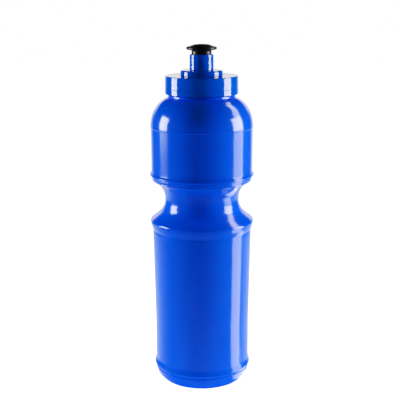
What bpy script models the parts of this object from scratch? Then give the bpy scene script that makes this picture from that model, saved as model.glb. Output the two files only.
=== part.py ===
"""Sports squeeze bottle: a bottle, a screw cap with a drinking spout, its seal and a push-pull valve.

Every size is in millimetres until a mesh is made. The origin is the centre of the base, where the
bottle stands, and +Z runs up the axis that all the pieces share.
"""

import math

import bmesh
import bpy

MM = 0.001
SEGMENTS = 36  # flats round a turned piece
FLATNESS = 0.16  # how far the flats of a rounded corner may lie inside its arc
MERGE = 0.00001

# Bottle
WALL = 1.1
STAND_OUTER = 30.4  # the flat ring that the bottle stands on
STAND_INNER = 23.0
PUSH_UP = 4.5  # rise of the base inside that ring
CROWN = (18.2, 3.6)  # (radius, height), as for every pair here: where the rise of the base levels off
CROWN_FILLET = 10.0
HEEL = (34.0, 4.3)  # where the curve up from the base meets the wall
HEEL_FILLET = 7.0
LOW_BEAD = (36.15, 11.5)
LOW_BEAD_FOOT = (35.0, 9.3)
LOW_BEAD_TOP = 15.4
LOW_WALL = 34.85  # the lower wall is straight up to LOW_WALL_TOP, then widens a little towards the grip
LOW_WALL_TOP = 45.0
HIGH_WALL = 36.2
HIGH_WALL_TOP = 114.0
WAIST_GROOVE = (35.95, 115.4)  # the fine step under the bead below the grip
WAIST_BEAD = (38.05, 122.35)
WAIST_BEAD_FILLET = 3.0
WAIST = 27.0
WAIST_FILLET = 14.3
WAIST_LOW = 131.2  # where the slopes below and above the grip meet its narrowest radius
WAIST_HIGH = 146.1
GRIP_TOP = (36.3, 153.25)  # where the slope above the grip meets the mid bead's underside
MID_BEAD_FOOT = (36.45, 154.9)
MID_BEAD = (38.2, 156.4)
BARREL = 36.85
BARREL_FOOT = 159.3
BARREL_BEND = 168.0  # the barrel is straight up to here, then widens a little
BARREL_TOP = 37.0
BARREL_TOP_HEIGHT = 190.8
LIP = 37.25
LIP_FOOT = 191.3
LIP_TOP = 192.1
DOME_FOOT = 192.2  # the shoulder is a quarter of an ellipse that starts DOME_CENTRE from the axis
DOME_CENTRE = 18.7
DOME_WIDTH = 18.4
DOME_RISE = 21.5
DOME_POINTS = 7
NECK_RING = 24.45
NECK_RING_TOP = 214.75
NECK = 22.8
NECK_BORE = 20.4
NECK_RING_FOOT = 213.55
BORE_FOOT = 220.1  # below this the inside of the neck runs straight into the dome
RIM = 224.1

# Corners of the bottle's inside, about WALL in from the outside
INSIDE_CROWN = (18.6, 4.7)
INSIDE_STAND_INNER = 23.4
INSIDE_STAND_OUTER = 29.9
INSIDE_HEEL = (33.0, 4.8)
INSIDE_LOW_WALL_FOOT = 9.6
INSIDE_WAIST_BEAD = (35.95, 122.6)
INSIDE_WAIST_LOW = 130.65
INSIDE_WAIST_HIGH = 146.65
INSIDE_MID_BEAD = (35.7, 154.2)
INSIDE_MID_BEAD_FILLET = 2.5
INSIDE_BARREL_TOP = 188.0

# Screw thread: a rounded rib round the neck, and one inside the cap that runs just below it
LEAD = 5.0
RIB = 1.2
RIB_DROP = 2.2
RIB_FADE = 4  # points over which each end sinks into its wall
RIB_END = 0.4  # size of a sunk end against the rest
NECK_RIB_FOOT = 216.3
NECK_RIB_TURNS = 1.25
CAP_RIB_START = 0.5  # turns after the start of the neck's rib
CAP_RIB_TURNS = 1.2

# Cap
CAP_TOP = 26.3
CAP_SKIRT = 26.4
CAP_BAND = 26.5  # the band below the fine groove
CAP_GROOVE = 219.2
GROOVE_DEPTH = 0.2
CAP_FOOT = 215.1
SKIRT_BORE = 24.5
DECK = 228.0
DECK_UNDERSIDE = 226.1
PLUG_OUTER = 19.3  # the ring under the deck that centres the cap in the neck
PLUG_INNER = 17.9
PLUG_FOOT = 222.6
DISC = 15.35
DISC_TOP = 231.9
DISC_HOLLOW = 13.4
WEB_FOOT = 230.3  # the web closes the foot of the spout, round the post
WEB_TOP = 232.0
SPOUT = 8.7
SPOUT_MOUTH = 8.6
SPOUT_TOP = 243.0
SPOUT_BORE = 7.9
SPOUT_LIP = 7.45  # narrower mouth that keeps the valve in
SPOUT_LIP_FOOT = 241.2
SPOUT_LIP_SLOPE = 0.5  # height over which the bore narrows to the lip
POST = 3.3
POST_TOP = 245.4
PIN = 2.45
PIN_FOOT = 246.6
PIN_TOP = 249.4
WINDOWS = 4  # flow windows through the web
WINDOW = 1.9
WINDOW_RING = 5.6
WINDOW_SEGMENTS = 16

# Seal
SEAL_OUTER = 24.15
SEAL_INNER = 19.6
SEAL_FOOT = 224.4
SEAL_TOP = 225.8

# Valve, pushed down and shut
HEAD = 11.05
HEAD_TOP = 250.0
HEAD_FLAT = 4.9
HEAD_SLOPE_FOOT = (9.7, 248.4)  # foot of the slope down from the flat top
HEAD_RIM_TOP = 248.35
HEAD_FOOT = 246.2
STEM_TOP = 246.0
HEAD_ROOF = 247.2
HOLE = 2.75
HOLE_TOP = 249.8  # the top dips slightly to its hole
STEM = 7.2
STEM_BORE = 5.6
STEM_BEAD = 7.62  # the snap bead that stops under the spout's lip
STEM_FOOT = 235.0
BEAD_LOW = 235.6
BEAD_HIGH = 236.1
BEAD_SLOPE_TOP = 236.6

BLUE = (0.001, 0.065, 0.6)
CAP_BLUE = (0.001, 0.055, 0.5)
BLACK = (0.007, 0.008, 0.009)
CLEAR_GREY = (0.55, 0.57, 0.6)


def points_of(corners, closed=False):
    """The points of an outline, from corners (radius, height, fillet radius). A fillet becomes an arc."""
    points = []
    last = len(corners) - 1
    for index, (radius, height, fillet) in enumerate(corners):
        if fillet == 0 or (index in (0, last) and not closed):
            points.append((radius, height))
            continue
        before = corners[index - 1]
        after = corners[(index + 1) % len(corners)]
        heading = math.atan2(height - before[1], radius - before[0])
        turn = math.remainder(math.atan2(after[1] - height, after[0] - radius) - heading, math.tau)
        side = math.copysign(math.pi / 2, turn)
        setback = fillet * math.tan(abs(turn) / 2)
        centre_r = radius - setback * math.cos(heading) + fillet * math.cos(heading + side)
        centre_z = height - setback * math.sin(heading) + fillet * math.sin(heading + side)
        widest = 2 * math.acos(1 - min(1, FLATNESS / fillet))
        steps = max(1, math.ceil(abs(turn) / widest))
        for step in range(steps + 1):
            angle = heading - side + turn * step / steps
            points.append((centre_r + fillet * math.cos(angle), centre_z + fillet * math.sin(angle)))
    return points


def dome(inset, start_radius, end_radius):
    """The shoulder's ellipse, set in by a wall's thickness, between two distances from the axis."""
    width = DOME_WIDTH - inset
    start = math.asin((start_radius - DOME_CENTRE) / width)
    end = math.asin((end_radius - DOME_CENTRE) / width)
    points = []
    for index in range(DOME_POINTS):
        angle = start + (end - start) * index / (DOME_POINTS - 1)
        height = DOME_FOOT + (DOME_RISE - inset) * math.cos(angle)
        points.append((DOME_CENTRE + width * math.sin(angle), height))
    return points


def new_collection(name):
    made = bpy.data.collections.new(name)
    bpy.context.scene.collection.children.link(made)
    return made


def plastic(name, colour, roughness):
    """A moulded material with a linear colour."""
    material = bpy.data.materials.new(name)
    material.use_nodes = True
    shader = material.node_tree.nodes["Principled BSDF"]
    shader.inputs["Base Color"].default_value = (*colour, 1)
    shader.inputs["Roughness"].default_value = roughness
    shader.inputs["Metallic"].default_value = 0
    return material


def turned(name, outline, material, closed=False):
    """One piece of the bottle, turned about the axis. The outline runs down the piece's outer side."""
    vertices = [(radius * MM, 0, height * MM) for radius, height in outline]
    edges = [(index, index + 1) for index in range(len(vertices) - 1)]
    if closed:
        edges.append((len(vertices) - 1, 0))
    mesh = bpy.data.meshes.new(name)
    mesh.from_pydata(vertices, edges, [])
    mesh.materials.append(material)
    piece = bpy.data.objects.new(name, mesh)
    pieces.objects.link(piece)
    screw = piece.modifiers.new("Turn", "SCREW")
    screw.steps = SEGMENTS
    screw.render_steps = SEGMENTS
    screw.use_merge_vertices = True
    screw.merge_threshold = MERGE
    screw.use_smooth_shade = True
    return piece


def helper(name, data):
    """A shape that is joined to a piece or cut from it, and isn't a piece itself."""
    made = bpy.data.objects.new(name, data)
    made.hide_render = True
    made.display_type = "WIRE"
    helpers.objects.link(made)
    return made


def combine(piece, other, operation):
    boolean = piece.modifiers.new(other.name, "BOOLEAN")
    boolean.operation = operation
    boolean.object = other


def mesh_of_curve(made):
    """The curve object's mesh, with its end caps welded to its sides. The curve is removed."""
    graph = bpy.context.evaluated_depsgraph_get()
    mesh = bpy.data.meshes.new_from_object(made.evaluated_get(graph))
    bpy.data.objects.remove(made)
    work = bmesh.new()
    work.from_mesh(mesh)
    bmesh.ops.remove_doubles(work, verts=work.verts, dist=MERGE)
    bmesh.ops.recalc_face_normals(work, faces=work.faces)
    work.to_mesh(mesh)
    work.free()
    return mesh


def thread_rib(name, wall, outward, start, foot, turns):
    """A helical rib half sunk in a wall, with faded ends. start is in turns.

    outward is true where the wall's solid lies outside the rib, as on the cap.
    """
    curve = bpy.data.curves.new(name, "CURVE")
    curve.dimensions = "3D"
    curve.bevel_depth = RIB * MM
    curve.bevel_resolution = 2
    curve.use_fill_caps = True
    count = round(turns * SEGMENTS) + 1
    spline = curve.splines.new("POLY")
    spline.points.add(count - 1)
    for index, point in enumerate(spline.points):
        from_end = min(index, count - 1 - index)
        size = min(1, RIB_END + (1 - RIB_END) * from_end / RIB_FADE)
        sink = RIB * (1 - size) * (1 if outward else -1)
        angle = math.tau * (start + index / SEGMENTS)
        radius = (wall + sink) * MM
        height = (foot + LEAD * index / SEGMENTS) * MM
        point.co = (radius * math.cos(angle), radius * math.sin(angle), height, 1)
        point.radius = size
    return helper(name, mesh_of_curve(helper(name + "_path", curve)))


def add_bottle():
    inside = points_of([
        (0, PUSH_UP + WALL, 0),
        (*INSIDE_CROWN, CROWN_FILLET),
        (INSIDE_STAND_INNER, WALL, 0),
        (INSIDE_STAND_OUTER, WALL, 0),
        (*INSIDE_HEEL, HEEL_FILLET - WALL),
        (LOW_WALL - WALL, INSIDE_LOW_WALL_FOOT, 0),
        (LOW_WALL - WALL, LOW_WALL_TOP, 0),
        (HIGH_WALL - WALL, HIGH_WALL_TOP, 0),
        (*INSIDE_WAIST_BEAD, WAIST_BEAD_FILLET),
        (WAIST - WALL, INSIDE_WAIST_LOW, WAIST_FILLET + WALL),
        (WAIST - WALL, INSIDE_WAIST_HIGH, WAIST_FILLET + WALL),
        (*INSIDE_MID_BEAD, INSIDE_MID_BEAD_FILLET),
        (BARREL_TOP - WALL, INSIDE_BARREL_TOP, 0),
    ])
    shoulder_inside = dome(WALL, DOME_CENTRE + DOME_WIDTH - WALL, NECK_BORE)
    neck = points_of([
        (NECK_BORE, BORE_FOOT, 0),
        (NECK_BORE, RIM, 0.6),
        (NECK, RIM, 0.8),
        (NECK, NECK_RING_TOP, 0),
        (NECK_RING, NECK_RING_TOP, 1.0),
        (NECK_RING, NECK_RING_FOOT, 0),
    ])
    shoulder = dome(0, NECK_RING, DOME_CENTRE + DOME_WIDTH)
    outside = points_of([
        (LIP, LIP_TOP, 0),
        (LIP, LIP_FOOT, 0),
        (BARREL_TOP, BARREL_TOP_HEIGHT, 0),
        (BARREL, BARREL_BEND, 0),
        (BARREL, BARREL_FOOT, 1.2),
        (*MID_BEAD, 0.9),
        (*MID_BEAD_FOOT, 0.3),
        (*GRIP_TOP, 0.5),
        (WAIST, WAIST_HIGH, WAIST_FILLET),
        (WAIST, WAIST_LOW, WAIST_FILLET),
        (*WAIST_BEAD, WAIST_BEAD_FILLET),
        (*WAIST_GROOVE, 0.6),
        (HIGH_WALL, HIGH_WALL_TOP, 0.5),
        (LOW_WALL, LOW_WALL_TOP, 0),
        (LOW_WALL, LOW_BEAD_TOP, 4),
        (*LOW_BEAD, 2.5),
        (*LOW_BEAD_FOOT, 1),
        (*HEEL, HEEL_FILLET),
        (STAND_OUTER, 0, 1.8),
        (STAND_INNER, 0, 1.5),
        (*CROWN, CROWN_FILLET),
        (0, PUSH_UP, 0),
    ])
    outline = inside + shoulder_inside + neck[1:] + shoulder + outside
    bottle = turned("bottle_body", outline, plastic("bottle_blue", BLUE, 0.28))
    rib = thread_rib("neck_rib", NECK, False, 0, NECK_RIB_FOOT, NECK_RIB_TURNS)
    combine(bottle, rib, "UNION")


def add_cap():
    outline = points_of([
        (0, PIN_TOP, 0),
        (PIN, PIN_TOP, 0.4),
        (PIN, PIN_FOOT, 0),
        (POST, POST_TOP, 0),
        (POST, WEB_TOP, 0),
        (SPOUT_BORE, WEB_TOP, 0),
        (SPOUT_BORE, SPOUT_LIP_FOOT, 0),
        (SPOUT_LIP, SPOUT_LIP_FOOT + SPOUT_LIP_SLOPE, 0),
        (SPOUT_LIP, SPOUT_TOP, 0.3),
        (SPOUT_MOUTH, SPOUT_TOP, 0.4),
        (SPOUT, DISC_TOP, 0.5),
        (DISC, DISC_TOP, 1.5),
        (DISC, DECK, 0.5),
        (CAP_TOP, DECK, 0.6),
        (CAP_SKIRT, CAP_GROOVE + GROOVE_DEPTH, 0),
        (CAP_SKIRT - GROOVE_DEPTH, CAP_GROOVE, 0),
        (CAP_BAND, CAP_GROOVE - GROOVE_DEPTH, 0),
        (CAP_BAND, CAP_FOOT, 0.3),
        (SKIRT_BORE, CAP_FOOT, 0.4),
        (SKIRT_BORE, DECK_UNDERSIDE, 0),
        (PLUG_OUTER, DECK_UNDERSIDE, 0),
        (PLUG_OUTER, PLUG_FOOT, 0.4),
        (PLUG_INNER, PLUG_FOOT, 0),
        (PLUG_INNER, DECK_UNDERSIDE, 0),
        (DISC_HOLLOW, DECK_UNDERSIDE, 0.8),
        (DISC_HOLLOW, WEB_FOOT, 0.8),
        (0, WEB_FOOT, 0),
    ])
    cap = turned("screw_cap", outline, plastic("cap_blue", CAP_BLUE, 0.15))
    foot = NECK_RIB_FOOT + LEAD * CAP_RIB_START - RIB_DROP
    rib = thread_rib("cap_rib", SKIRT_BORE, True, CAP_RIB_START, foot, CAP_RIB_TURNS)
    combine(cap, rib, "UNION")
    for index in range(WINDOWS):
        combine(cap, window_cutter(index), "DIFFERENCE")


def window_cutter(index):
    mesh = bpy.data.meshes.new(f"window_{index + 1}")
    work = bmesh.new()
    bmesh.ops.create_cone(
        work,
        cap_ends=True,
        segments=WINDOW_SEGMENTS,
        radius1=WINDOW * MM,
        radius2=WINDOW * MM,
        depth=2 * (WEB_TOP - WEB_FOOT) * MM,
    )
    work.to_mesh(mesh)
    work.free()
    cutter = helper(mesh.name, mesh)
    angle = math.tau * (index + 0.5) / WINDOWS
    height = (WEB_TOP + WEB_FOOT) / 2
    ring = WINDOW_RING * MM
    cutter.location = (ring * math.cos(angle), ring * math.sin(angle), height * MM)
    return cutter


def add_seal():
    outline = [
        (SEAL_INNER, SEAL_TOP),
        (SEAL_OUTER, SEAL_TOP),
        (SEAL_OUTER, SEAL_FOOT),
        (SEAL_INNER, SEAL_FOOT),
    ]
    turned("cap_seal", outline, plastic("seal_silicone", CLEAR_GREY, 0.5), closed=True)


def add_valve():
    outline = points_of([
        (HOLE, HOLE_TOP, 0),
        (HEAD_FLAT, HEAD_TOP, 1.0),
        (*HEAD_SLOPE_FOOT, 1.5),
        (HEAD, HEAD_RIM_TOP, 1.0),
        (HEAD, HEAD_FOOT, 1.0),
        (STEM, STEM_TOP, 1.0),
        (STEM, BEAD_SLOPE_TOP, 0),
        (STEM_BEAD, BEAD_HIGH, 0),
        (STEM_BEAD, BEAD_LOW, 0),
        (STEM, STEM_FOOT, 0),
        (STEM_BORE, STEM_FOOT, 0),
        (STEM_BORE, HEAD_ROOF, 0.6),
        (HOLE, HEAD_ROOF, 0),
    ], closed=True)
    turned("drink_valve", outline, plastic("valve_black", BLACK, 0.3), closed=True)


for old in list(bpy.data.objects):
    bpy.data.objects.remove(old)
pieces = new_collection("Sports squeeze bottle")
helpers = new_collection("Cutters and ribs")
add_bottle()
add_cap()
add_seal()
add_valve()
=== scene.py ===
"""Looks of the sports squeeze bottle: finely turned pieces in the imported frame, materials and the studio."""

import math

import bmesh
import bpy
from mathutils import Matrix, Vector


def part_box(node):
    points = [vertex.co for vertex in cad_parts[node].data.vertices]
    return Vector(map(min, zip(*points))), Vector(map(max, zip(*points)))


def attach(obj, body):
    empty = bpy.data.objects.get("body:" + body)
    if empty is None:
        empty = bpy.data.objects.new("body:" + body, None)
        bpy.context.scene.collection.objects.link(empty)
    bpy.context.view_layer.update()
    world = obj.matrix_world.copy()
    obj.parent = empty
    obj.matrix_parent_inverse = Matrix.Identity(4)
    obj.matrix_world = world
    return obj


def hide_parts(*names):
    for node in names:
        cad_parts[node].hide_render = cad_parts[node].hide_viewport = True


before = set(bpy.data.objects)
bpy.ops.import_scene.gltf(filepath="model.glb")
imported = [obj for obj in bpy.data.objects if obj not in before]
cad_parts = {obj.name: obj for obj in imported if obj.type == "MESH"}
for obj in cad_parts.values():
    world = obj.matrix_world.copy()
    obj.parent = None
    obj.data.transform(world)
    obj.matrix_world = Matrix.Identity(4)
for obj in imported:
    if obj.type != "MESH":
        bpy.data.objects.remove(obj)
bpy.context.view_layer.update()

MM = 0.001
TOLERANCE = 0.001  # of a radius, in millimetres
SEGMENTS = 192  # quads round a turned piece
ARC_STEP = math.radians(6)  # widest step along a fillet
SHARP_ANGLE = math.radians(40)


def lowest(node):
    """The height of a CAD node's lowest point, in millimetres."""
    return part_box(node)[0].z / MM


def highest(node):
    """The height of a CAD node's highest point, in millimetres."""
    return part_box(node)[1].z / MM


# Sizes and places of the pieces, in millimetres. First the heights that come from the frame
RIM = highest("bottle_body")
CAP_FOOT = lowest("screw_cap")
PIN_TOP = highest("screw_cap")
SEAL_FOOT = lowest("cap_seal")
SEAL_TOP = highest("cap_seal")
STEM_FOOT = lowest("drink_valve")
HEAD_TOP = highest("drink_valve")

# Bottle. A pair is (radius, height)
WALL = 1.1
STAND_OUTER = 30.4  # the flat ring that the bottle stands on
STAND_INNER = 23.0
PUSH_UP = 4.5  # rise of the base inside that ring
CROWN = (18.2, 3.6)  # where the rise of the base levels off
HEEL = (34.0, 4.3)  # where the curve up from the base meets the wall
LOW_BEAD_FOOT = (34.75, 9.5)  # a fine crease, with a lip below it
LOW_LIP = (35.05, 8.7)
LOW_BEAD = (36.15, 11.5)
LOW_BEAD_TOP = 15.4
LOW_WALL = 34.85  # the lower wall is straight up to LOW_WALL_TOP, then widens a little towards the grip
LOW_WALL_TOP = 45.0
HIGH_WALL = 36.2
HIGH_WALL_TOP = 114.0
WAIST_GROOVE = (36.05, 115.4)  # the fine step under the bead below the grip
WAIST_BEAD = (38.05, 122.5)
WAIST_BELLY = (37.3, 118.6)  # the bead curves in below its crest
WAIST = 27.0
WAIST_FILLET = 14.3
WAIST_LOW = 131.2  # where the slopes below and above the grip meet its narrowest radius
WAIST_HIGH = 146.1
GRIP_TOP = (36.5, 152.6)  # where the slope above the grip ends, in a fine crease
GRIP_TOP_CREASE = (36.2, 152.95)
UNDER_BEAD = (36.45, 155.2)  # a fine ridge runs just under the mid bead
RIDGE = (36.85, 154.8)
RIDGE_FOOT = (36.35, 154.2)
MID_BEAD = (38.25, 156.5)
BARREL = 36.85
BARREL_FOOT = 158.6
BARREL_BEND = 168.0  # the barrel is straight up to here, then widens a little
BARREL_TOP = 37.0
BARREL_TOP_HEIGHT = 190.8
LIP = 37.25
LIP_FOOT = 191.3
LIP_TOP = 192.1
DOME_FOOT = 192.2  # the shoulder is a quarter of an ellipse that starts DOME_CENTRE from the axis
DOME_CENTRE = 18.7
DOME_WIDTH = 18.4
DOME_RISE = 21.5
DOME_POINTS = 36
DOME_INNER = 24.35  # the distance from the axis at which the shoulder runs in under the neck's ring
NECK_RING = 24.45
NECK_RING_TOP = 214.75
NECK_RING_FOOT = 212.75
NECK_CREASE = (24.2, 212.65)  # between the ring and the shoulder
NECK = 22.8
NECK_BORE = 20.4
BORE_FOOT = 220.1  # a height on the straight inside of the neck

# Corners of the bottle's inside, about WALL in from the outside
INSIDE_CROWN = (18.6, 4.7)
INSIDE_STAND_INNER = 23.4
INSIDE_STAND_OUTER = 29.9
INSIDE_HEEL = (33.0, 4.8)
INSIDE_LOW_WALL_FOOT = 9.6
INSIDE_WAIST_BEAD = (35.95, 122.6)
INSIDE_WAIST_LOW = 130.65
INSIDE_WAIST_HIGH = 146.65
INSIDE_MID_BEAD = (35.7, 154.2)
INSIDE_BARREL_TOP = 188.0

# Screw thread: a rounded rib round the neck, and one inside the cap that runs just below it
LEAD = 5.0
RIB = 1.05  # how far a rib stands off its wall
RIB_HALF = 1.1  # half the width of a rib's foot
RIB_CREST = 0.35  # half the width of its flat crest
RIB_FADE = 0.11  # turns over which each end fades out
RIB_ROW = 0.2  # distance between rows of a wall that carries a rib
RIB_DROP = 2.2  # how far the cap's rib runs below the neck's
NECK_RIB_FOOT = 216.3
NECK_RIB_TURNS = 1.25
NECK_ROWS = (RIM - 1.2, NECK_RING_TOP + 0.6)  # the rows stop short of the fillets at either end
CAP_RIB_START = 0.5  # turns after the start of the neck's rib
CAP_RIB_TURNS = 1.2

# Cap
CAP_TOP = 26.3
CAP_SKIRT = 26.4
CAP_BAND = 26.5  # the band below the fine groove
CAP_GROOVE = 219.2
GROOVE_DEPTH = 0.2
SKIRT_BORE = 24.5
DECK = 228.0
DECK_UNDERSIDE = 226.1
SKIRT_ROWS = (CAP_FOOT + 0.5, DECK_UNDERSIDE - 0.5)
PLUG_OUTER = 19.3  # the ring under the deck that centres the cap in the neck
PLUG_INNER = 17.9
PLUG_FOOT = 222.6
DISC = 15.35
DISC_TOP = 231.9
DISC_HOLLOW = 13.4
WEB_FOOT = 230.3  # the web closes the foot of the spout, round the post
WEB_TOP = 232.0
SPOUT = 8.7
SPOUT_MOUTH = 8.6
SPOUT_TOP = 243.0
SPOUT_BORE = 7.9
SPOUT_LIP = 7.45  # narrower mouth that keeps the valve in
SPOUT_LIP_FOOT = 241.2
SPOUT_LIP_SLOPE = 0.5  # height over which the bore narrows to the lip
POST = 3.3
POST_TOP = 245.4
PIN = 2.45
PIN_FOOT = 246.6
WINDOWS = 4  # round holes through the web
WINDOW = 1.9  # their radius
WINDOW_RING = 5.6  # distance of their centres from the axis
WINDOW_SIDES = 48

# Seal and valve
SEAL_OUTER = 24.15
SEAL_INNER = 19.6
HEAD = 11.05
HEAD_FLAT = 4.9
HEAD_SLOPE_FOOT = (9.7, 248.4)
HEAD_RIM_TOP = 248.35
HEAD_FOOT = 246.2
HEAD_ROOF = 247.2
HOLE = 2.75
HOLE_TOP = HEAD_TOP - 0.2
STEM = 7.2
STEM_TOP = 246.0
STEM_BORE = 5.6
STEM_BEAD = 7.62  # the bead that stops under the spout's lip
STEM_BEAD_CREST_FOOT = STEM_FOOT + 0.6
STEM_BEAD_CREST_TOP = STEM_FOOT + 1.1
STEM_BEAD_TOP = STEM_FOOT + 1.6

# Noise in the plastics, in cycles a metre
TINT_NOISE = 45
GLOSS_NOISE = 160
WAVE_NOISE = 70
GRAIN_NOISE = 900
NOISE_RANGE = (0.3, 0.7)  # where nearly all of a noise's values lie

# Studio, in metres and radiance. The camera's side is -Y
CAMERA_AT = (-0.0010, -0.6485, 0.2865)
CAMERA_PITCH = math.radians(13.03)
CAMERA_ROLL = math.radians(0.15)
CAMERA_LENS = 81.14  # on a 36 mm sensor
SOFTBOX_DISTANCE = 0.6
LEFT_ANGLE = math.radians(-93)  # from the camera's side, round the bottle
RIGHT_ANGLE = math.radians(87)
# Angle, middles of the foot and the top as (across, height), width, radiance
SOFTBOXES = {
    "softbox_left": (LEFT_ANGLE, (0, 0.105), (0, 0.43), 0.25, 15.0),
    "softbox_left_spill": (LEFT_ANGLE, (0, 0.07), (0, 0.105), 0.25, 3.2),
    "softbox_left_fringe": (LEFT_ANGLE, (0, 0.045), (0, 0.07), 0.25, 1.2),
    "softbox_right": (RIGHT_ANGLE, (0, 0.105), (0, 0.45), 0.3, 15.0),
}
STRIPS = {  # these show only as reflections
    "strip_right_low": (RIGHT_ANGLE, (0.02, -0.3), (0.02, 0.105), 0.31, 4.5),
    "strip_right_foot": (RIGHT_ANGLE, (2.6, -1.7), (0.16, -0.38), 0.34, 3.5),
    "strip_right_high": (RIGHT_ANGLE, (0.05, 0.45), (0.5, 1.15), 0.2, 7.0),
    "strip_right_top": (RIGHT_ANGLE, (0.5, 1.15), (2.4, 2.05), 0.22, 4.0),
}
BACKDROP_RADIANCE = 1.9  # a low white wall behind the bottle
TABLE_RADIANCE = 0.8  # the white table to the bottle's sides and behind it
FRONT_RADIANCE = 0.01
WHITE = 1.5  # what the camera sees as pure white
# Edges of the wall and the table, between which each fades. A direction's Y is 1 behind, its Z is 1 overhead
WALL_SIDE = (0.72, 0.95)
WALL_TOP = (0.15, 0.32)
WALL_FOOT = (0, 0.2)
WALL_FOOT_SHARE = 0.5  # of the wall's radiance
TABLE_SIDE = (-0.15, 0.7)
TABLE_FAR = (-0.29, -0.17)
TABLE_NEAR = (-0.8, -0.55)
FLOOR_SIZE = 6.0
FLOOR_COLOUR = (0.85, 0.85, 0.85, 1)
FLOOR_ROUGHNESS = 0.9
FLOOR_GLOW = 0.9
FLOOR_GLOW_REACH = 0.35  # metres over which the light that the floor throws back dies away
# The camera's response: scene radiance to output, in linear light
RESPONSE = ((0, 0), (0.05, 0.047), (0.16, 0.18), (0.3, 0.38), (0.64, 0.62), (1.1, 0.86), (WHITE, 1))


# ---- Outlines -----------------------------------------------------------------------------------------


def points_of(corners, closed=False):
    """The points of an outline, from corners (radius, height, fillet radius). A fillet becomes an arc."""
    points = []
    last = len(corners) - 1
    for index, (radius, height, fillet) in enumerate(corners):
        if fillet == 0 or (index in (0, last) and not closed):
            points.append((radius, height))
            continue
        before = corners[index - 1]
        after = corners[(index + 1) % len(corners)]
        heading = math.atan2(height - before[1], radius - before[0])
        turn = math.remainder(math.atan2(after[1] - height, after[0] - radius) - heading, math.tau)
        side = math.copysign(math.pi / 2, turn)
        setback = fillet * math.tan(abs(turn) / 2)
        centre_r = radius - setback * math.cos(heading) + fillet * math.cos(heading + side)
        centre_z = height - setback * math.sin(heading) + fillet * math.sin(heading + side)
        steps = max(2, math.ceil(abs(turn) / ARC_STEP))
        for step in range(steps + 1):
            angle = heading - side + turn * step / steps
            points.append((centre_r + fillet * math.cos(angle), centre_z + fillet * math.sin(angle)))
    return points


def dome(inset, start_radius, end_radius):
    """The shoulder's ellipse, set in by a wall's thickness, between two distances from the axis."""
    width = DOME_WIDTH - inset
    start = math.asin((start_radius - DOME_CENTRE) / width)
    end = math.asin((end_radius - DOME_CENTRE) / width)
    points = []
    for index in range(DOME_POINTS):
        angle = start + (end - start) * index / (DOME_POINTS - 1)
        height = DOME_FOOT + (DOME_RISE - inset) * math.cos(angle)
        points.append((DOME_CENTRE + width * math.sin(angle), height))
    return points


def rows(radius, start, end):
    """Closely spaced points down or up a wall, for a rib to rise from."""
    count = round(abs(end - start) / RIB_ROW)
    return [(radius, start + (end - start) * index / count, 0) for index in range(count + 1)]


def rib(angle, height, start, foot, turns):
    """How far a helical rib stands off its wall at this angle and height. start and turns are in turns."""
    tallest = 0
    along = (angle / math.tau - start) % 1
    while along <= turns:
        away = abs(height - foot - LEAD * along)
        rise = min(1, max(0, (RIB_HALF - away) / (RIB_HALF - RIB_CREST)))
        fade = min(1, along / RIB_FADE, (turns - along) / RIB_FADE)
        tallest = max(tallest, RIB * rise * rise * (3 - 2 * rise) * fade)
        along += 1
    return tallest


def neck_rib(radius, angle, height):
    """The radius that a point of the bottle moves to. Only the neck's outside has a rib."""
    if abs(radius - NECK) > TOLERANCE:
        return radius
    return radius + rib(angle, height, 0, NECK_RIB_FOOT, NECK_RIB_TURNS)


def cap_rib(radius, angle, height):
    """The radius that a point of the cap moves to. Only the skirt's inside has a rib."""
    if abs(radius - SKIRT_BORE) > TOLERANCE:
        return radius
    foot = NECK_RIB_FOOT + LEAD * CAP_RIB_START - RIB_DROP
    return radius - rib(angle, height, CAP_RIB_START, foot, CAP_RIB_TURNS)


# ---- Pieces -------------------------------------------------------------------------------------------


def placed(name, data):
    """A new object in the scene."""
    made = bpy.data.objects.new(name, data)
    bpy.context.scene.collection.objects.link(made)
    return made


def placed_mesh(name, work):
    """A new object in the scene, with the mesh of a finished bmesh."""
    mesh = bpy.data.meshes.new(name)
    work.to_mesh(mesh)
    work.free()
    return placed(name, mesh)


def turned(name, outline, closed=False, reshape=None):
    """A piece turned about the axis. closed joins the outline's last point to its first.

    reshape(radius, angle, height) gives the radius that a point moves to, for what isn't round.
    """
    work = bmesh.new()
    rings = []
    for radius, height in outline:
        if radius < TOLERANCE:
            rings.append([work.verts.new((0, 0, height * MM))])
            continue
        ring = []
        for index in range(SEGMENTS):
            angle = math.tau * index / SEGMENTS
            moved = reshape(radius, angle, height) if reshape else radius
            point = (moved * math.cos(angle) * MM, moved * math.sin(angle) * MM, height * MM)
            ring.append(work.verts.new(point))
        rings.append(ring)
    pairs = list(zip(rings, rings[1:]))
    if closed:
        pairs.append((rings[-1], rings[0]))
    for one, two in pairs:
        for index in range(SEGMENTS):
            after = (index + 1) % SEGMENTS
            if len(one) == 1:
                work.faces.new((one[0], two[after], two[index]))
            elif len(two) == 1:
                work.faces.new((one[index], one[after], two[0]))
            else:
                work.faces.new((one[index], one[after], two[after], two[index]))
    bmesh.ops.recalc_face_normals(work, faces=work.faces)
    return placed_mesh(name, work)


def finished(piece, body, node, material):
    """Shades the piece, gives it its material and puts it in its place in the frame."""
    piece.data.shade_smooth()
    piece.data.set_sharp_from_angle(angle=SHARP_ANGLE)
    piece.data.materials.clear()
    piece.data.materials.append(material)
    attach(piece, body)
    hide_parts(node)


def cut(piece, cutter):
    """Takes the cutter out of the piece for good."""
    boolean = piece.modifiers.new("cut", "BOOLEAN")
    boolean.operation = "DIFFERENCE"
    boolean.object = cutter
    graph = bpy.context.evaluated_depsgraph_get()
    mesh = bpy.data.meshes.new_from_object(piece.evaluated_get(graph))
    piece.modifiers.clear()
    piece.data = mesh
    bpy.data.objects.remove(cutter)


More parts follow.
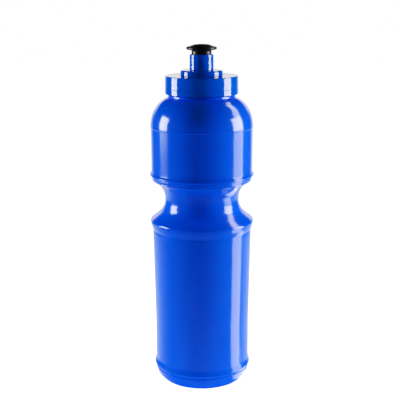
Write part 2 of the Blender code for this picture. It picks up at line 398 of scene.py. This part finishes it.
def make_bottle(material):
    inside = points_of([
        (0, PUSH_UP + WALL, 0),
        (*INSIDE_CROWN, 10),
        (INSIDE_STAND_INNER, WALL, 0.8),
        (INSIDE_STAND_OUTER, WALL, 0.8),
        (*INSIDE_HEEL, 5.9),
        (LOW_WALL - WALL, INSIDE_LOW_WALL_FOOT, 0),
        (LOW_WALL - WALL, LOW_WALL_TOP, 0),
        (HIGH_WALL - WALL, HIGH_WALL_TOP, 0),
        (*INSIDE_WAIST_BEAD, 3),
        (WAIST - WALL, INSIDE_WAIST_LOW, WAIST_FILLET + WALL),
        (WAIST - WALL, INSIDE_WAIST_HIGH, WAIST_FILLET + WALL),
        (*INSIDE_MID_BEAD, 2.5),
        (BARREL_TOP - WALL, INSIDE_BARREL_TOP, 0),
    ])
    shoulder_inside = dome(WALL, DOME_CENTRE + DOME_WIDTH - WALL, NECK_BORE)
    neck = points_of(
        [(NECK_BORE, BORE_FOOT, 0), (NECK_BORE, RIM, 0.6), (NECK, RIM, 0.8)]
        + rows(NECK, *NECK_ROWS)
        + [
            (NECK, NECK_RING_TOP, 0.3),
            (NECK_RING, NECK_RING_TOP, 0.9),
            (NECK_RING, NECK_RING_FOOT, 0.8),
            (*NECK_CREASE, 0),
        ]
    )
    shoulder = dome(0, DOME_INNER, DOME_CENTRE + DOME_WIDTH)
    outside = points_of([
        (LIP, LIP_TOP, 0),
        (LIP, LIP_FOOT, 0.3),
        (BARREL_TOP, BARREL_TOP_HEIGHT, 0.3),
        (BARREL, BARREL_BEND, 0),
        (BARREL, BARREL_FOOT, 0.8),
        (*MID_BEAD, 0.5),
        (*UNDER_BEAD, 0.2),
        (*RIDGE, 0.2),
        (*RIDGE_FOOT, 0.2),
        (*GRIP_TOP_CREASE, 0.15),
        (*GRIP_TOP, 0.25),
        (WAIST, WAIST_HIGH, WAIST_FILLET),
        (WAIST, WAIST_LOW, WAIST_FILLET),
        (*WAIST_BEAD, 2),
        (*WAIST_BELLY, 10),
        (*WAIST_GROOVE, 0.6),
        (HIGH_WALL, HIGH_WALL_TOP, 0.5),
        (LOW_WALL, LOW_WALL_TOP, 0),
        (LOW_WALL, LOW_BEAD_TOP, 9),
        (*LOW_BEAD, 1.4),
        (*LOW_BEAD_FOOT, 0.2),
        (*LOW_LIP, 0.4),
        (*HEEL, 7),
        (STAND_OUTER, 0, 1.8),
        (STAND_INNER, 0, 1.5),
        (*CROWN, 10),
        (0, PUSH_UP, 0),
    ])
    # The neck's first corner only gives the rim's fillet its direction
    outline = inside + shoulder_inside + neck[1:] + shoulder + outside
    piece = turned("bottle_shell", outline, reshape=neck_rib)
    finished(piece, "bottle", "bottle_body", material)


def window_cutter(index):
    """An upright cylinder through the web, where one of its windows goes."""
    work = bmesh.new()
    bmesh.ops.create_cone(
        work,
        cap_ends=True,
        segments=WINDOW_SIDES,
        radius1=WINDOW * MM,
        radius2=WINDOW * MM,
        depth=2 * (WEB_TOP - WEB_FOOT) * MM,
    )
    cutter = placed_mesh("window", work)
    angle = math.tau * (index + 0.5) / WINDOWS
    ring = WINDOW_RING * MM
    cutter.location = (ring * math.cos(angle), ring * math.sin(angle), (WEB_TOP + WEB_FOOT) / 2 * MM)
    return cutter


def make_cap(material):
    outline = points_of(
        [
            (0, PIN_TOP, 0),
            (PIN, PIN_TOP, 0.4),
            (PIN, PIN_FOOT, 0.2),
            (POST, POST_TOP, 0.3),
            (POST, WEB_TOP, 0.4),
            (SPOUT_BORE, WEB_TOP, 0.3),
            (SPOUT_BORE, SPOUT_LIP_FOOT, 0),
            (SPOUT_LIP, SPOUT_LIP_FOOT + SPOUT_LIP_SLOPE, 0),
            (SPOUT_LIP, SPOUT_TOP, 0.3),
            (SPOUT_MOUTH, SPOUT_TOP, 0.4),
            (SPOUT, DISC_TOP, 0.5),
            (DISC, DISC_TOP, 1.5),
            (DISC, DECK, 0.5),
            (CAP_TOP, DECK, 0.6),
            (CAP_SKIRT, CAP_GROOVE + GROOVE_DEPTH, 0.1),
            (CAP_SKIRT - GROOVE_DEPTH, CAP_GROOVE, 0.05),
            (CAP_BAND, CAP_GROOVE - GROOVE_DEPTH, 0.1),
            (CAP_BAND, CAP_FOOT, 0.3),
            (SKIRT_BORE, CAP_FOOT, 0.4),
        ]
        + rows(SKIRT_BORE, *SKIRT_ROWS)
        + [
            (SKIRT_BORE, DECK_UNDERSIDE, 0.3),
            (PLUG_OUTER, DECK_UNDERSIDE, 0.3),
            (PLUG_OUTER, PLUG_FOOT, 0.4),
            (PLUG_INNER, PLUG_FOOT, 0.4),
            (PLUG_INNER, DECK_UNDERSIDE, 0.3),
            (DISC_HOLLOW, DECK_UNDERSIDE, 0.8),
            (DISC_HOLLOW, WEB_FOOT, 0.8),
            (0, WEB_FOOT, 0),
        ]
    )
    piece = turned("cap_shell", outline, reshape=cap_rib)
    for index in range(WINDOWS):
        cut(piece, window_cutter(index))
    finished(piece, "cap", "screw_cap", material)


def make_seal(material):
    outline = points_of([
        (SEAL_INNER, SEAL_TOP, 0.2),
        (SEAL_OUTER, SEAL_TOP, 0.2),
        (SEAL_OUTER, SEAL_FOOT, 0.2),
        (SEAL_INNER, SEAL_FOOT, 0.2),
    ], closed=True)
    piece = turned("seal_ring", outline, closed=True)
    finished(piece, "seal", "cap_seal", material)


def make_valve(material):
    outline = points_of([
        (HOLE, HOLE_TOP, 0.15),
        (HEAD_FLAT, HEAD_TOP, 1.0),
        (*HEAD_SLOPE_FOOT, 1.5),
        (HEAD, HEAD_RIM_TOP, 1.0),
        (HEAD, HEAD_FOOT, 1.0),
        (STEM, STEM_TOP, 1.0),
        (STEM, STEM_BEAD_TOP, 0),
        (STEM_BEAD, STEM_BEAD_CREST_TOP, 0.1),
        (STEM_BEAD, STEM_BEAD_CREST_FOOT, 0.1),
        (STEM, STEM_FOOT, 0),
        (STEM_BORE, STEM_FOOT, 0.2),
        (STEM_BORE, HEAD_ROOF, 0.6),
        (HOLE, HEAD_ROOF, 0),
    ], closed=True)
    piece = turned("valve_shell", outline, closed=True)
    finished(piece, "valve", "drink_valve", material)


# ---- Materials ----------------------------------------------------------------------------------------


def moulded(name, colour, deep, roughness, spread, grain, wave, gloss=0.5):
    """Moulded plastic: a faint drift of colour and gloss, broad waves and a fine grain.

    The colour drifts between colour and deep, and the roughness by spread either way. grain and wave are
    bump heights in millimetres. gloss is the specular level, 0.5 for most plastics.
    """
    material = bpy.data.materials.new(name)
    material.use_nodes = True
    nodes = material.node_tree.nodes
    link = material.node_tree.links.new
    shader = nodes["Principled BSDF"]
    shader.inputs["Specular IOR Level"].default_value = gloss
    place = nodes.new("ShaderNodeTexCoord").outputs["Object"]

    def noise(per_metre, detail):
        made = nodes.new("ShaderNodeTexNoise")
        made.inputs["Scale"].default_value = per_metre
        made.inputs["Detail"].default_value = detail
        link(place, made.inputs["Vector"])
        return made.outputs["Fac"]

    def spread_over(source, low, high):
        return ramp(material.node_tree, source, *NOISE_RANGE, low, high)

    tint = nodes.new("ShaderNodeMix")
    tint.data_type = "RGBA"
    tint.inputs["A"].default_value = (*deep, 1)
    tint.inputs["B"].default_value = (*colour, 1)
    link(spread_over(noise(TINT_NOISE, 3), 0, 1), tint.inputs["Factor"])
    link(tint.outputs["Result"], shader.inputs["Base Color"])
    gloss_drift = spread_over(noise(GLOSS_NOISE, 4), roughness - spread, roughness + spread)
    link(gloss_drift, shader.inputs["Roughness"])
    broad = nodes.new("ShaderNodeBump")
    broad.inputs["Distance"].default_value = wave * MM
    link(noise(WAVE_NOISE, 1), broad.inputs["Height"])
    fine = nodes.new("ShaderNodeBump")
    fine.inputs["Distance"].default_value = grain * MM
    link(noise(GRAIN_NOISE, 2), fine.inputs["Height"])
    link(broad.outputs["Normal"], fine.inputs["Normal"])
    link(fine.outputs["Normal"], shader.inputs["Normal"])
    return material


# ---- Studio -------------------------------------------------------------------------------------------


def make_camera():
    """A camera that looks along +Y and a little down."""
    data = bpy.data.cameras.new("camera")
    data.lens = CAMERA_LENS
    camera = placed("camera", data)
    camera.location = CAMERA_AT
    camera.rotation_euler = (math.pi / 2 - CAMERA_PITCH, CAMERA_ROLL, 0)
    bpy.context.scene.camera = camera


def make_softbox(name, angle, foot, top, width, radiance):
    """A flat light beside the bottle, at an angle round it from the camera's side.

    foot and top are the middles of its two ends: metres towards the back or front, and height.
    """
    outward = Vector((math.sin(angle), -math.cos(angle), 0))
    across = Vector((math.cos(angle), math.sin(angle), 0))
    ends = []
    for aside, up in (foot, top):
        ends.append(outward * SOFTBOX_DISTANCE + across * aside + Vector((0, 0, up)))
    rise = ends[1] - ends[0]
    data = bpy.data.lights.new(name, "AREA")
    data.shape = "RECTANGLE"
    data.size = width
    data.size_y = rise.length
    data.energy = radiance * math.pi * data.size * data.size_y
    light = placed(name, data)
    upward = rise.normalized()
    axes = Matrix((upward.cross(outward), upward, outward)).transposed()
    light.matrix_world = Matrix.Translation((ends[0] + ends[1]) / 2) @ axes.to_4x4()
    light.visible_camera = False
    return light


def make_lights():
    for name, place in SOFTBOXES.items():
        make_softbox(name, *place)
    for name, place in STRIPS.items():
        make_softbox(name, *place).visible_diffuse = False


def ramp(tree, source, start, end, low, high):
    """Goes smoothly from low to high as source goes from start to end."""
    made = tree.nodes.new("ShaderNodeMapRange")
    made.interpolation_type = "SMOOTHSTEP"
    made.inputs["From Min"].default_value = start
    made.inputs["From Max"].default_value = end
    made.inputs["To Min"].default_value = low
    made.inputs["To Max"].default_value = high
    tree.links.new(source, made.inputs["Value"])
    return made.outputs["Result"]


def math_node(tree, operation, one, two):
    made = tree.nodes.new("ShaderNodeMath")
    made.operation = operation
    tree.links.new(one, made.inputs[0])
    tree.links.new(two, made.inputs[1])
    return made.outputs["Value"]


def seen_or(tree, strength, seen):
    """strength for light that reaches other things, and the fixed value seen for the camera."""
    made = tree.nodes.new("ShaderNodeMix")
    tree.links.new(tree.nodes.new("ShaderNodeLightPath").outputs["Is Camera Ray"], made.inputs["Factor"])
    tree.links.new(strength, made.inputs["A"])
    made.inputs["B"].default_value = seen
    return made.outputs["Result"]


def make_surroundings():
    """Plain white to the camera. The bottle reflects a dark front, a low wall behind and a table below."""
    world = bpy.data.worlds.new("studio")
    bpy.context.scene.world = world
    world.use_nodes = True
    tree = world.node_tree
    split = tree.nodes.new("ShaderNodeSeparateXYZ")
    tree.links.new(tree.nodes.new("ShaderNodeTexCoord").outputs["Generated"], split.inputs["Vector"])
    back = split.outputs["Y"]
    up = split.outputs["Z"]
    behind = ramp(tree, back, *WALL_SIDE, FRONT_RADIANCE, BACKDROP_RADIANCE)
    wall = math_node(tree, "MULTIPLY", behind, ramp(tree, up, *WALL_TOP, 1, 0))
    wall = math_node(tree, "MULTIPLY", wall, ramp(tree, up, *WALL_FOOT, WALL_FOOT_SHARE, 1))
    beside = ramp(tree, back, *TABLE_SIDE, 0, TABLE_RADIANCE)
    table = math_node(tree, "MULTIPLY", beside, ramp(tree, up, *TABLE_FAR, 1, 0))
    table = math_node(tree, "MULTIPLY", table, ramp(tree, up, *TABLE_NEAR, 0, 1))
    glow = math_node(tree, "MAXIMUM", wall, table)
    tree.links.new(seen_or(tree, glow, WHITE), tree.nodes["Background"].inputs["Strength"])
    tree.nodes["Background"].inputs["Color"].default_value = (1, 1, 1, 1)


def set_response():
    """Turns the scene's light into the picture's, by the camera's response."""
    settings = bpy.context.scene.view_settings
    settings.view_transform = "Standard"
    settings.use_curve_mapping = True
    mapping = settings.curve_mapping
    mapping.clip_max_x = WHITE
    curve = mapping.curves[3]  # the one for all three colours together
    curve.points[0].location = RESPONSE[0]
    curve.points[1].location = RESPONSE[-1]
    for point in RESPONSE[1:-1]:
        curve.points.new(*point)
    mapping.update()


def make_floor():
    """A plain white floor. Its glow on the bottle dies away from the base outwards."""
    work = bmesh.new()
    bmesh.ops.create_grid(work, x_segments=1, y_segments=1, size=FLOOR_SIZE / 2)
    floor = placed_mesh("floor", work)
    floor.location.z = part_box("bottle_body")[0].z
    floor.visible_glossy = False
    floor.visible_shadow = False
    material = bpy.data.materials.new("floor_white")
    material.use_nodes = True
    tree = material.node_tree
    shader = tree.nodes["Principled BSDF"]
    shader.inputs["Base Color"].default_value = FLOOR_COLOUR
    shader.inputs["Roughness"].default_value = FLOOR_ROUGHNESS
    shader.inputs["Emission Color"].default_value = (1, 1, 1, 1)
    length = tree.nodes.new("ShaderNodeVectorMath")
    length.operation = "LENGTH"
    tree.links.new(tree.nodes.new("ShaderNodeTexCoord").outputs["Object"], length.inputs[0])
    glow = ramp(tree, length.outputs["Value"], 0, FLOOR_GLOW_REACH, FLOOR_GLOW, 0)
    tree.links.new(seen_or(tree, glow, WHITE), shader.inputs["Emission Strength"])
    floor.data.materials.append(material)


make_camera()
make_lights()
make_surroundings()
make_floor()
set_response()
make_bottle(moulded(
    "bottle_blue",
    colour=(0.0, 0.1, 0.93),
    deep=(0.0, 0.093, 0.9),
    roughness=0.13,
    spread=0.02,
    grain=0.0008,
    wave=0.01,
))
make_cap(moulded(
    "cap_blue",
    colour=(0.0, 0.095, 0.68),
    deep=(0.0, 0.088, 0.65),
    roughness=0.07,
    spread=0.01,
    grain=0.0003,
    wave=0.003,
))
make_seal(moulded(
    "seal_silicone",
    colour=(0.56, 0.58, 0.61),
    deep=(0.5, 0.52, 0.55),
    roughness=0.5,
    spread=0.05,
    grain=0.004,
    wave=0.01,
))
make_valve(moulded(
    "valve_black",
    colour=(0.008, 0.009, 0.011),
    deep=(0.006, 0.006, 0.008),
    roughness=0.32,
    spread=0.03,
    grain=0.001,
    wave=0.005,
    gloss=0.22,
))
